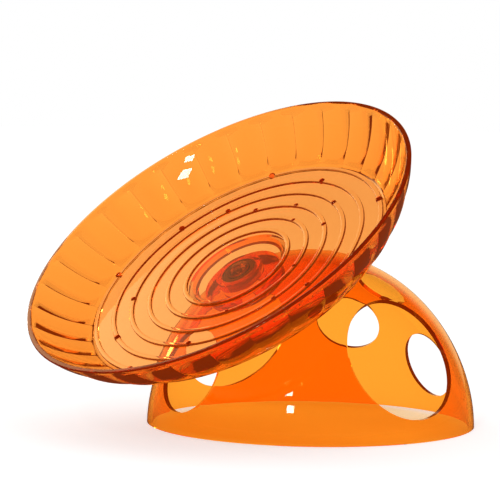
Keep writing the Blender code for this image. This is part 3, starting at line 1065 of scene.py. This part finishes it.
@dataclass(frozen=True)
class SoftGlow:
    """A broad bright part of the studio, round a heading from the front towards +X and a height angle."""

    heading: float
    climb: float
    strength: float
    # the cosines of the angles from its middle where it starts and where it is full
    span: tuple[float, float]

    def add(self, tree: Tree, place: Socket, level: Socket) -> Socket:
        """Add the glow to a brightness.

        Args:
            tree: The world's node tree.
            place: The direction that is looked at.
            level: The brightness so far.

        Returns:
            The brightness with the glow.
        """
        facing = add_node(tree, "ShaderNodeVectorMath", {"operation": "DOT_PRODUCT"}, {0: place})
        facing.inputs[1].default_value = direction(self.heading, self.climb)
        glow = ramp(tree, facing.outputs["Value"], self.span, (0.0, self.strength))
        both = add_node(tree, "ShaderNodeMath", {"operation": "ADD"}, {0: level, 1: glow})
        return both.outputs["Value"]


@dataclass
class Studio:
    """A white table and backdrop, soft boxes and a long lens at the photograph's viewing angle."""

    # camera, worked out for a square image of 500 by 500
    target: tuple[float, float, float] = (-0.0173, 0.0069, 0.0758)
    heading: float = 47.46
    climb: float = 3.58
    roll: float = 0.83
    distance: float = 0.950
    lens: float = 156.16
    sensor: float = 36.0
    floor_size: float = 28.0
    floor_colour: str = "f4f4f4"
    # painted reflection: the colour the floor takes where the plastic mirrors it, darker and browner than the
    # white floor
    floor_painted_reflection: str = "6e6048"
    floor_glow: float = 0.56
    # painted light: the floor's emission turns orange up to this radius round the house, standing in for the
    # light let through its orange shell
    painted_house_light: str = "ffdf9e"
    house_centre: tuple[float, float, float] = (0.0, 0.0285, 0.0)
    house_light_span: tuple[float, float] = (0.058, 0.074)
    # sky brightness by what sees it: plastic seen through, plastic as a mirror, and matt surfaces
    sky_through: tuple[float, float] = (1.0, 0.14)
    sky_mirrored: tuple[float, float] = (0.09, 0.03)
    sky_matt: float = 0.56
    white: str = "ffffff"
    warm_white: str = "ffd9a0"
    # the sines of the height angles where the bright horizon ends, and where the sky is at its darkest
    sky_span: tuple[float, float] = (0.22, 0.55)

    def glows(self) -> tuple[SoftGlow, ...]:
        """Return the bright parts of the studio that the plastic mirrors: left and high, and behind."""
        return (
            SoftGlow(-95.0, 28.0, 2.5, (0.961, 0.996)),
            SoftGlow(227.5, 8.0, 0.95, (0.8, 0.95)),
        )

    def lamps(self) -> tuple[SoftBox, ...]:
        """Return the soft boxes."""
        return (
            SoftBox("window_box", 31.0, 27.0, 1.5, 0.13, 0.19, 18.0),
            SoftBox("small_box", 33.0, 15.0, 1.5, 0.12, 0.12, 20.0),
            SoftBox("left_box", -96.0, 6.0, 1.5, 0.22, 0.2, 14.0),
        )

    def camera(self) -> None:
        """Set up the camera."""
        back = direction(self.heading, self.climb)
        data = bpy.data.cameras.new("photo_lens")
        data.lens = self.lens
        data.sensor_width = self.sensor
        data.sensor_fit = "HORIZONTAL"
        holder = bpy.data.objects.new("photo_lens", data)
        bpy.context.scene.collection.objects.link(holder)
        holder.location = Vector(self.target) + back * self.distance
        level = (-back).to_track_quat("-Z", "Y")
        rolled = level @ Quaternion((0.0, 0.0, 1.0), math.radians(self.roll))
        holder.rotation_euler = rolled.to_euler()
        bpy.context.scene.camera = holder

    def sky(self) -> None:
        """Light the studio evenly, with a white backdrop for the camera and for what is seen through."""
        world = bpy.data.worlds.new("white_studio")
        bpy.context.scene.world = world
        world.use_nodes = True
        tree = world.node_tree
        tree.nodes.clear()
        place = add_node(tree, "ShaderNodeTexCoord").outputs["Generated"]
        height = add_node(tree, "ShaderNodeSeparateXYZ", None, {"Vector": place}).outputs["Z"]
        path = add_node(tree, "ShaderNodeLightPath")
        through = ramp(tree, height, self.sky_span, self.sky_through)
        mirrored = ramp(tree, height, self.sky_span, self.sky_mirrored)
        for glow in self.glows():
            mirrored = glow.add(tree, place, mirrored)
        level = blend(tree, "FLOAT", path.outputs["Is Glossy Ray"], self.sky_matt, mirrored)
        level = blend(tree, "FLOAT", path.outputs["Is Transmission Ray"], level, through)
        level = blend(tree, "FLOAT", path.outputs["Is Camera Ray"], level, 1.0)
        tint = blend(tree, "RGBA", mirror_share(tree), linear(self.white), linear(self.warm_white))
        lit = add_node(tree, "ShaderNodeBackground", None, {"Color": tint, "Strength": level})
        add_node(tree, "ShaderNodeOutputWorld", None, {"Surface": lit.outputs["Background"]})

    def floor(self) -> None:
        """Lay a white table that keeps the object's shadow, and looks white through the clear plastic."""
        deselect_all()
        bpy.ops.mesh.primitive_plane_add(size=self.floor_size, location=(0.0, 0.0, 0.0))
        floor = bpy.context.active_object
        floor.name = "white_table"
        material = bpy.data.materials.new("matt_white_board")
        material.use_nodes = True
        tree = material.node_tree
        tree.nodes.clear()
        path = add_node(tree, "ShaderNodeLightPath")
        seen = add_node(tree, "ShaderNodeMath", {"operation": "MAXIMUM"},
                        {0: path.outputs["Is Camera Ray"], 1: path.outputs["Is Transmission Ray"]})
        glow = add_node(tree, "ShaderNodeMath", {"operation": "MULTIPLY", 1: self.floor_glow},
                        {0: seen.outputs["Value"]})
        # painted reflection: the plastic mirrors the floor in dark brown instead of white
        tint = blend(tree, "RGBA", mirror_share(tree), linear(self.floor_colour), linear(self.floor_painted_reflection))
        board = add_node(tree, "ShaderNodeBsdfDiffuse", None, {"Color": tint})
        place = add_node(tree, "ShaderNodeTexCoord").outputs["Object"]
        apart = add_node(tree, "ShaderNodeVectorMath", {"operation": "DISTANCE"}, {0: place})
        apart.inputs[1].default_value = self.house_centre
        beside = ramp(tree, apart.outputs["Value"], self.house_light_span)
        # painted light: an orange pool in the floor's emission under the house
        warm = blend(tree, "RGBA", beside, linear(self.painted_house_light), linear(self.white))
        light = add_node(tree, "ShaderNodeEmission", None,
                         {"Color": warm, "Strength": glow.outputs["Value"]})
        both = add_node(tree, "ShaderNodeAddShader", None,
                        {0: board.outputs["BSDF"], 1: light.outputs["Emission"]})
        add_node(tree, "ShaderNodeOutputMaterial", None, {"Surface": both.outputs["Shader"]})
        floor.data.materials.append(material)

    def build(self) -> None:
        """Set the whole studio up."""
        bpy.context.scene.view_settings.view_transform = "Standard"
        self.camera()
        self.sky()
        self.floor()
        for lamp in self.lamps():
            lamp.build(Vector(self.target))
        log.info("studio: camera at %.0f mm, %d soft boxes", self.distance / MILLIMETRE, len(self.lamps()))


def axis_place(joint: dict) -> Matrix:
    """Return the deck's centre with Z along a joint's axis, leaning about X.

    Args:
        joint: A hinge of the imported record.

    Returns:
        The place.
    """
    direction = Vector(joint["axis"]).normalized()
    lean = math.atan2(-direction.y, direction.z)
    return Matrix.Translation(joint["pos_m"]) @ Matrix.Rotation(lean, 4, "X")


def main() -> None:
    """Dress the wheel and set up the studio."""
    logging.basicConfig(level=logging.INFO, format="%(name)s: %(message)s")
    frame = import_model()
    spin = next(joint for joint in frame["joints"] if joint["name"] == "saucer_spin")
    axis = axis_place(spin)
    low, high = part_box("hideout_dome")
    upright = Matrix.Translation((0.0, high.y - HouseShell.radius, 0.0))
    amber = ClearAmber().build()
    house_amber = ClearAmber("house_amber_polystyrene_moulded", tint="ffac36").build()
    steel = TurnedMetal("chrome_steel_ground", "c9ccd0", "b3b7bc", 0.12, 0.08).build()
    zinc = TurnedMetal("mild_steel_zinc_plated", "cfd3d8", "b4bac1", 0.24, 0.14).build()
    nylon = MouldedNylon().build()
    shell = HouseShell()
    shell.dress(shell.build(upright, axis), house_amber)
    saucer = SaucerShell()
    saucer.dress(saucer.build(axis), amber)
    bearing = HubBearing()
    bearing.dress(bearing.build(axis), steel, zinc, nylon)
    fastener = HubFastener()
    fastener.dress(fastener.build(axis), zinc)
    Studio().build()


if __name__ == "__main__":
    main()
